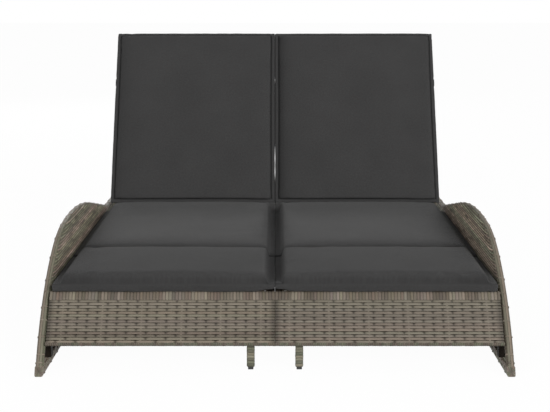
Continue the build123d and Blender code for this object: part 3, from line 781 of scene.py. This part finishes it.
def plan_sides(xs, ys, inset, form):
    """The four boundary lines of a rounded rectangle that is drawn in between its corners."""
    x0, x1, y0, y1 = xs[0] + inset, xs[-1] - inset, ys[0] + inset, ys[-1] - inset
    px = x0 + (xs - xs[0]) / (xs[-1] - xs[0]) * (x1 - x0)
    py = y0 + (ys - ys[0]) / (ys[-1] - ys[0]) * (y1 - y0)
    r = max(form["radius"] - inset, 4.0)
    tx = (px - x0) / (x1 - x0) * 2 - 1
    ty = (py - y0) / (y1 - y0) * 2 - 1
    west, east, south, north = form["pull"]
    lines = {
        "south": (px, y0 + south * (1 - tx ** 2)), "north": (px, y1 - north * (1 - tx ** 2)),
        "west": (x0 + west * (1 - ty ** 2), py), "east": (x1 - east * (1 - ty ** 2), py),
    }
    out = {}
    for key, (qx, qy) in lines.items():
        level = key in ("south", "north")
        flat_x = np.clip(qx, x0, x1) if level else np.full_like(qy, x0 if key == "west" else x1)
        flat_y = np.full_like(qx, y0 if key == "south" else y1) if level else np.clip(qy, y0, y1)
        cx, cy = np.clip(flat_x, x0 + r, x1 - r), np.clip(flat_y, y0 + r, y1 - r)
        dx, dy = flat_x - cx, flat_y - cy
        corner = (np.abs(dx) > 0) & (np.abs(dy) > 0)
        k = np.where(corner, r / np.maximum(np.hypot(dx, dy), 1e-6), 1.0)
        out[key] = np.stack([cx + dx * k + qx - flat_x, cy + dy * k + qy - flat_y], 1)
    return out


def coons(sides, u, v):
    """A grid of points inside four boundary lines."""
    u, v = u[None, :, None], v[:, None, None]
    s, n, w, e = (sides[k] for k in ("south", "north", "west", "east"))
    grid = (1 - v) * s[None] + v * n[None] + (1 - u) * w[:, None] + u * e[:, None]
    return grid - ((1 - u) * (1 - v) * s[0] + u * (1 - v) * s[-1] + (1 - u) * v * n[0] + u * v * n[-1])


def roll_over(d, reach, power):
    """Rises steeply from 0 at an edge to 1 at the reach."""
    return (1 - (1 - np.clip(d / reach, 0, 1)) ** power) ** (1 / power)


def side_rise(d, roll, power):
    """Height share of the top panel at a distance from an edge.

    Where roll is negative, the edge has a low ledge, then a steep wall that reaches that
    distance, and the top panel's small roll beyond it.
    """
    if roll > 0:
        return roll_over(d, roll, power)
    start = -roll - min(9.0, -roll * 0.55)
    return 0.80 * step_up(d, start, -roll - start) + 0.20 * roll_over(d + roll + 3.0, 24.0, 2.0)


def snapped(co, flat, xs, ys, corner):
    """Moves each side of the puffed cushion back to its line, fading out towards the middle."""
    for q, r, lines, across in ((0, 1, ys, xs), (1, 0, xs, ys)):
        row = np.abs(flat[:, r][:, None] - lines[None, :]).argmin(1)
        for edge, sign in ((across[0], 1.0), (across[-1], -1.0)):
            reach = np.full(len(lines), 1e9)
            np.minimum.at(reach, row, sign * (co[:, q] - edge))
            inner = np.clip((np.minimum(lines - lines[0], lines[-1] - lines) - corner) / 5.0, 0, 1)
            shift = -np.clip(reach, -8.0, 8.0) * inner
            away = np.clip(sign * (co[:, q] - edge), 0, None)
            co[:, q] += sign * shift[row] * np.exp(-((away / 45.0) ** 2))
    return co


def cushion_mesh(xs, ys, form):
    """Verts, quads, uv, the rings of the side band and the tones, of a cushion that lies on zero.

    The form's band holds (inset, height) from the bottom panel's edge to the top panel's edge.
    rolls holds how far in from each edge the top panel rolls over, as side_rise reads it. The seam
    between the side band and the top panel is painted darker, as shade in its groove; the form holds
    its tone at each edge, and (edge, amount, reach) of painted shade towards an edge, or of painted
    highlight where the amount is negative. ledge_shade and side_shade paint shade in the valley and
    the crease between two cushions.
    """
    band, rolls, power = form["band"], form["rolls"], form["power"]
    u, v = (xs - xs[0]) / (xs[-1] - xs[0]), (ys - ys[0]) / (ys[-1] - ys[0])
    away = ((xs - xs[0])[None, :], (xs[-1] - xs)[None, :], (ys - ys[0])[:, None], (ys[-1] - ys)[:, None])
    west, east, south, north = (side_rise(d, roll, power) for d, roll in zip(away, rolls))
    rise = (west * east) * (south * north)
    swell = np.sqrt((4 * u * (1 - u))[None, :] * (4 * v * (1 - v))[:, None])
    tone = np.ones(rise.shape)
    # Painted shade along the seam at each edge.
    for d, seam in zip(away, form["seam_tones"]):
        tone = np.minimum(tone, 1 - (1 - seam) * np.exp(-((d / form["seam_width"]) ** 2)))
    # Painted shade towards an edge, or painted highlight where the amount is negative.
    for edge, amount, reach in form["shades"]:
        tone = tone * (1 - amount * np.exp(-away[edge] / reach))
    # ledge_shade paints shade on the low ledge in the valley between two cushions.
    if rolls[WEST] < 0:
        tone = tone * (1 - form["ledge_shade"] * bell(away[WEST], 0.0, -rolls[WEST] - 5.0, 4.0))
    (low_inset, low), (top_inset, height) = band[0], band[-1]
    panels = (
        (top_inset, height + (form["top"] - height) * rise + form["crown"] * swell, tone, 0.0),
        (low_inset, low * (1 - rise), np.ones(rise.shape), 3.0),
    )
    verts, uv, tones, grids = [], [], [], []
    for inset, z, shade, shift in panels:
        g = coons(plan_sides(xs, ys, inset, form), u, v)
        grids.append(np.arange(z.size).reshape(z.shape) + len(grids) * z.size)
        verts.append(np.concatenate([g, z[..., None]], -1).reshape(-1, 3))
        uv.append((g * 0.001 + shift).reshape(-1, 2))
        tones.append(shade.ravel())

    def ring_ids(ids):
        return np.concatenate([ids[0, :-1], ids[:-1, -1], ids[-1, :0:-1], ids[:0:-1, 0]])

    rows = [ring_ids(grids[1])]
    start, count = 2 * rise.size, len(rows[0])
    for inset, height in band[1:-1]:
        s = plan_sides(xs, ys, inset, form)
        ring = np.concatenate([s["south"][:-1], s["east"][:-1], s["north"][:0:-1], s["west"][:0:-1]])
        verts.append(np.concatenate([ring, np.full((count, 1), height)], 1))
        uv.append(np.stack([lengths(ring) * 0.001, np.full(count, 6.0 + height * 0.001)], 1))
        # side_shade paints shade on the side band at the seam, in the crease between two cushions.
        tones.append(1 - form["side_shade"] * (ring[:, 0] < xs[0] + 5.0) * (height > 12.0))
        rows.append(np.arange(count) + start)
        start += count
    rows.append(ring_ids(grids[0]))
    quads = []
    for ids, order in ((grids[0], 1), (grids[1], -1)):
        q = np.stack([ids[:-1, :-1], ids[:-1, 1:], ids[1:, 1:], ids[1:, :-1]], -1).reshape(-1, 4)
        quads.append(q[:, ::order])
    for low, high in zip(rows[:-1], rows[1:]):
        quads.append(np.stack([low, np.roll(low, -1), np.roll(high, -1), high], -1))
    tones = np.repeat(np.concatenate(tones)[:, None], 3, axis=1)
    return np.concatenate(verts), np.concatenate(quads), np.concatenate(uv), rows, tones


def puff(obj, frames=20, limit=0.006):
    """Blows the cover up with cloth, and keeps each point near where it started."""
    scene = bpy.context.scene
    count = len(obj.data.vertices) * 3
    start, now = np.empty(count, dtype=np.float32), np.empty(count, dtype=np.float32)
    obj.data.vertices.foreach_get("co", start)
    mod = obj.modifiers.new("cloth", "CLOTH")
    cloth = mod.settings
    cloth.quality = 4
    cloth.mass = 0.25
    cloth.tension_stiffness = 14
    cloth.compression_stiffness = 10
    cloth.shear_stiffness = 6
    cloth.bending_stiffness = 0.3
    cloth.use_pressure = True
    cloth.uniform_pressure_force = 1.2
    cloth.effector_weights.gravity = 0.0
    cloth.shrink_min = -0.05
    mod.collision_settings.use_collision = False
    mod.point_cache.frame_start = 1
    mod.point_cache.frame_end = frames
    for f in range(1, frames + 1):
        scene.frame_set(f)
    posed = obj.evaluated_get(bpy.context.evaluated_depsgraph_get())
    posed.to_mesh().vertices.foreach_get("co", now)
    posed.to_mesh_clear()
    obj.modifiers.remove(mod)
    start, now = start.reshape(-1, 3), now.reshape(-1, 3)
    move = now - start
    size = np.linalg.norm(move, axis=1, keepdims=True)
    print("cloth", obj.name, "median", round(float(np.median(size)), 4), "largest", round(float(size.max()), 4))
    move *= np.tanh(size / limit) * limit / np.maximum(size, 1e-9)
    obj.data.vertices.foreach_set("co", (start + move).astype(np.float32).ravel())
    scene.frame_set(1)


def ripple(rng, x, spans, size):
    """A wavy line along x: sines of about the given wave lengths."""
    out = np.zeros_like(x)
    for span in spans:
        out += np.sin(2 * pi * x / (span * rng.uniform(0.85, 1.15)) + rng.uniform(0, 2 * pi)) * rng.uniform(0.5, 1.0)
    return out * size / len(spans)


def pucker(rng, flat, xs, ys, size):
    """Small gathers along the top panel's edges and a slight unevenness of its middle."""
    x, y = flat[:, 0], flat[:, 1]
    top = np.clip((flat[:, 2] - 20.0) / 12.0, 0, 1)
    out = np.zeros(len(flat))
    for share, d, along in ((1, x - xs[0], y), (1, xs[-1] - x, y), (0.25, y - ys[0], x), (0.3, ys[-1] - y, x)):
        strength = 0.45 + 0.55 * (0.5 + 0.5 * np.sin(2 * pi * along / rng.uniform(210, 330) + rng.uniform(0, 6)))
        fine = ripple(rng, along, (24.0, 33.0, 49.0), 1.8 * size * share)
        out += np.exp(-np.clip(d, 0, None) / 15.0) * strength * fine
        out += np.exp(-np.clip(d, 0, None) / 42.0) * ripple(rng, along, (74.0, 118.0), 1.1 * size)
    wide = ripple(rng, x + 0.4 * y, (260.0, 390.0), 0.8) * ripple(rng, y - 0.3 * x, (230.0, 340.0), 0.9)
    return (out + wide * size) * top


def make_cushion(kind, side, seed, form, put, fit, body):
    """A cushion in its own flat frame, puffed there, fitted to its neighbours and put in place."""
    rng = np.random.default_rng(seed)
    xs, ys = spaced(*form["x"]), spaced(*form["y"])
    verts, quads, uv, rows, tones = cushion_mesh(xs, ys, form)
    verts += rng.normal(0, 0.15, verts.shape)
    name = TAGS[side] + kind + "_pad"
    obj = make_object(name, verts, quads, uv, tones, FABRIC)
    puff(obj)
    co = np.empty(len(verts) * 3, dtype=np.float32)
    obj.data.vertices.foreach_get("co", co)
    co = co.reshape(-1, 3).astype(float) * 1000.0
    for q, line in enumerate((xs, ys)):
        low, high = co[:, q].min(), co[:, q].max()
        co[:, q] = line[0] + (co[:, q] - low) * (line[-1] - line[0]) / (high - low)
    co = snapped(co, verts, xs, ys, form["radius"] - 5.0)
    co[:, 2] *= (form["top"] + form["crown"]) / co[:, 2].max()
    middle = np.array([np.mean(form["x"]), np.mean(form["y"]), 22.0])
    for row, depth in ((rows[-1], form["groove"]), (rows[0], 1.0)):
        co[row] += unit((middle - co[row]) * (1, 1, 6.0)) * depth
    co[:, 2] += pucker(rng, verts, xs, ys, form["pucker"])
    co[:, 2] = np.maximum(co[:, 2], 0.0)
    low = np.clip(1 - (co[:, 1] - ys[0]) / 120.0, 0, 1) * form["shear"][0] * co[:, 2]
    high = np.clip(1 - (ys[-1] - co[:, 1]) / 120.0, 0, 1) * form["shear"][1] * co[:, 2]
    co[:, 1] += low + high
    co = put(fit(co)) * (side, 1, 1) * 0.001
    obj.data.vertices.foreach_set("co", co.astype(np.float32).ravel())
    if side < 0:
        obj.data.flip_normals()
    sub = obj.modifiers.new("sub", "SUBSURF")
    sub.levels = sub.render_levels = 1
    mesh = bpy.data.meshes.new_from_object(obj.evaluated_get(bpy.context.evaluated_depsgraph_get()))
    obj.modifiers.remove(sub)
    old, obj.data = obj.data, mesh
    bpy.data.meshes.remove(old)
    mesh.name = name
    settle(obj, side, kind + "_cushion", body)


def on_deck(p):
    return p + (0, -half_length, cushion_bottom)


def on_back(p):
    return raised(p + (0, hinge_y, hinge_z + deck_r + 0.3))


def fit_deck(co):
    """The cushions touch at the seam, and grow thicker towards the back."""
    co[:, 0] = np.clip(co[:, 0], 0.0, 652.0)
    corner = bell(co[:, 0], 0.0, 14.0, 46.0) * (1 - step_up(co[:, 1], 142.0, 50.0))
    co[:, 2] += 7.0 * corner * np.clip(1 - co[:, 2] / 24.0, 0, 1)
    swell = np.interp(co[:, 1], (175.0, 480.0, 1195.0), (0.13, 0.21, 0.37))
    co[:, 2] *= 1 + swell * (1 - step_up(co[:, 1], 1203.0, 18.0))
    return co


def fit_seat(co):
    """The seat cushion swells up in front of the backrest, and its rear end lies against the frame."""
    full = step_up(co[:, 1], 1155.0, 50.0) * step_up(co[:, 2], 19.0, 5.0) * (1 - step_up(co[:, 0], 30.0, 14.0))
    co[:, 2] += full * np.maximum(52.0 - co[:, 2], 0.0)
    co = fit_deck(co)
    s, z = co[:, 1] - half_length - hinge_y, co[:, 2] + cushion_bottom - hinge_z
    push = np.maximum(13.3 + s * sin(recline) - z * cos(recline), 0.0)
    co[:, 1] -= push * sin(recline)
    co[:, 2] += push * cos(recline) * 0.3
    return co


def fit_back(co):
    """The straps draw the back cushion in, and the cushions part a little lower down."""
    strap_here = bell(co[:, 1], strap_u, 15.0, 26.0)
    at_seam = bell(co[:, 1], strap_u, 9.0, 7.0)
    apart = bell(co[:, 1], 222.0, 48.0, 24.0) * (0.75 + 0.25 * np.sin(co[:, 1] / 9.0))
    co[:, 0] = np.maximum(co[:, 0], at_seam + apart)
    co[:, 0] = np.minimum(co[:, 0], 640.0 - 4.6 * strap_here)
    return co


# Each form's seam tones, ledge_shade, side_shade and shade entries paint shade and highlight on the cover.
leg_form = {
    "x": (-1.5, 650.0), "y": (137.5, 479.0), "radius": 12.0, "pull": (0.6, 3.0, 1.0, 0.6),
    "band": ((4.0, 0.2), (1.2, 3.0), (0.1, 8.0), (0.0, 15.0), (0.6, 19.5), (2.2, 22.5)),
    "top": 51.0, "crown": 5.0, "rolls": (-30.0, -36.0, 31.0, 13.0), "power": 2.9, "shear": (0.0, 0.0),
    "groove": 1.0, "pucker": 1.0, "seam_tones": (0.7, 0.7, 0.85, 1.0), "seam_width": 2.2,
    "ledge_shade": 0.4, "side_shade": 0.0, "shades": ((EAST, 0.24, 95.0), (NORTH, -0.1, 16.0)),
}
seat_form = dict(
    leg_form, y=(480.5, 1262.0), rolls=(-29.0, -36.0, 36.0, 10.0), power=2.1, shear=(0.0, 0.53), ledge_shade=0.16,
    band=((4.0, 0.2), (1.2, 3.0), (0.1, 9.0), (0.0, 17.0), (0.6, 22.0), (2.2, 25.0)),
)
back_form = dict(
    leg_form, x=(-1.5, 637.5), y=(70.0, 777.0), radius=5.0, pull=(0.5, 3.0, 0.0, 0.0),
    band=((11.0, 1.0), (3.5, 8.0), (0.3, 18.0), (0.3, 29.0), (1.4, 37.5), (5.2, 42.0), (12.4, 42.0), (17.0, 35.0)),
    top=54.0, crown=4.0, rolls=(40.0, 36.0, 12.0, 14.0), power=2.6, shear=(-0.53, 0.0), groove=0.8, pucker=0.7,
    seam_tones=(0.2, 0.2, 0.72, 0.3), seam_width=3.6, side_shade=0.4,
)
# Painted shade and highlight on the cushions' tops: shade at the seat's front fold and towards the arms, a painted
# shadow of the right arm across the right seat, painted light near the backrest, and on the backs shade on edges
# turned from the key lamp and a highlight on edges turned to it.
seat_ends = ((SOUTH, 0.26, 60.0), (NORTH, -0.42, 95.0))
seat_painted_shades = {1: ((WEST, 0.1, 120.0), (EAST, 0.45, 160.0), *seat_ends), -1: ((EAST, 0.28, 100.0), *seat_ends)}
back_painted_shades = {1: ((WEST, 0.5, 24.0),), -1: ((WEST, -0.1, 26.0), (EAST, 0.26, 26.0))}
for side, seed in ((1, 700), (-1, 800)):
    make_cushion("leg", side, seed + 1, leg_form, on_deck, fit_deck, "base")
    make_cushion("seat", side, seed + 2, dict(seat_form, shades=seat_painted_shades[side]), on_deck, fit_seat, "base")
    make_cushion("back", side, seed + 3, dict(back_form, shades=back_painted_shades[side]), on_back, fit_back, "back")


# ---- straps

def strap(side):
    """A band of webbing round the backrest's frame and up the cushion's sides."""
    cane = Cane(side, 40 + side)
    x0, x1, r, thick = 0.72, 637.0, 6.0, 1.4
    rear, front = hinge_z - deck_r - 1.2, hinge_z + 46.0
    turn = np.linspace(0, pi / 2, 5)
    line = [(x0, z, -1, 0) for z in np.linspace(front, rear + r, 9)]
    line += [(x0 + r - r * cos(a), rear + r - r * sin(a), -cos(a), -sin(a)) for a in turn[1:]]
    line += [(x, rear, 0, -1) for x in np.linspace(x0 + r, x1 - r, 40)[1:]]
    line += [(x1 - r + r * cos(a), rear + r - r * sin(a), cos(a), -sin(a)) for a in turn[-2::-1]]
    line += [(x1, z, 1, 0) for z in np.linspace(rear + r, front, 9)[1:]]
    x, z, nx, nz = np.array(line, float)[:, :, None].swapaxes(0, 1)
    normal = X * nx + Z * nz
    path = X * x + Y * (hinge_y + strap_u) + Z * z - normal * thick / 2
    cane.strand(path, normal, 1.0, 32.0, thick)
    cane.finish("strap_web", "back_strap", "back", raised, BAND, "elastic_band")


strap(1)
strap(-1)

# ---- steel, bolts and feet keep the part's own meshes

BARE = (
    (STEEL, "side_posts outer_rail inner_rail cross_rails rear_rail front_apron_frame rear_apron_frame"),
    (STEEL, "hinge_brackets notch_racks prop"),
    (ZINC, "hinge_bolts frame_bolts prop_pins seam_bolts"),
    (RUBBER, "runner_pads"),
    (PLASTIC, "leg_glides"),
)
finishes = {name: material for material, names in BARE for name in names.split()}
for name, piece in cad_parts.items():
    key = name.replace("left_", "").replace("right_", "")
    if key in finishes:
        for s in piece.material_slots:
            s.material = finishes[key]


# ---- floor, light and camera

def sees_background(nt):
    """One for rays that should meet the white background: from the camera, in gloss and through glass."""
    path = node(nt, "LightPath").outputs
    seen = math_node(nt, "MAXIMUM", path["Is Camera Ray"], path["Is Transmission Ray"])
    return math_node(nt, "MAXIMUM", seen, path["Is Glossy Ray"])


def mixed(nt, share, a, b, output):
    """Ends a node tree in a mix of two shaders."""
    mix = node(nt, "MixShader", {0: share, 1: a.outputs[0], 2: b.outputs[0]})
    node(nt, output, {0: mix.outputs[0]})


def floor_and_world():
    """A pale floor that keeps the shadow, and a plain white world."""
    mesh = bpy.data.meshes.new("floor")
    mesh.from_pydata([(-30, -30, 0), (30, -30, 0), (30, 40, 0), (-30, 40, 0)], [], [(0, 1, 2, 3)])
    floor = bpy.data.objects.new("floor", mesh)
    bpy.context.collection.objects.link(floor)
    m, nt = new_material("floor")
    diffuse = node(nt, "BsdfDiffuse", {0: (0.6, 0.6, 0.6, 1)})
    glow = node(nt, "Emission", {0: WHITE, 1: 1.02})
    mixed(nt, math_node(nt, "MULTIPLY", sees_background(nt), 0.95), diffuse, glow, "OutputMaterial")
    mesh.materials.append(m)
    world = bpy.data.worlds.new("world")
    bpy.context.scene.world = world
    world.use_nodes = True
    nt = world.node_tree
    nt.nodes.clear()
    ambient = node(nt, "Background", {0: WHITE, 1: 0.42})
    seen = node(nt, "Background", {0: WHITE, 1: 1.0})
    mixed(nt, sees_background(nt), ambient, seen, "OutputWorld")


def area(name, location, target, size, power):
    data = bpy.data.lights.new(name, "AREA")
    data.shape = "RECTANGLE"
    data.size, data.size_y = size
    data.energy = power
    lamp = bpy.data.objects.new(name, data)
    bpy.context.collection.objects.link(lamp)
    dx, dy, dz = (t - p for t, p in zip(target, location))
    lamp.location = location
    lamp.rotation_euler = (atan2(hypot(dx, dy), -dz), 0.0, atan2(dy, dx) - pi / 2)


floor_and_world()
area("key", (4.2, -6.6, 3.2), (0.0, 0.0, 0.4), (3.4, 2.6), 400.0)
area("fill", (-4.2, -6.6, 2.7), (0.0, 0.0, 0.4), (3.4, 2.6), 240.0)
area("rear", (-1.5, 7.0, 3.0), (0.0, 0.5, 0.3), (4.0, 2.4), 110.0)

camera_pitch = 10.669
camera = bpy.data.cameras.new("camera")
camera.sensor_width = 36.0
camera.lens = 73.31
eye = bpy.data.objects.new("camera", camera)
bpy.context.collection.objects.link(eye)
eye.location = (0.0, -4.0307, 1.062)
eye.rotation_euler = (radians(90.0 - camera_pitch), 0.0, 0.0)
bpy.context.scene.camera = eye
bpy.context.scene.view_settings.view_transform = "Standard"
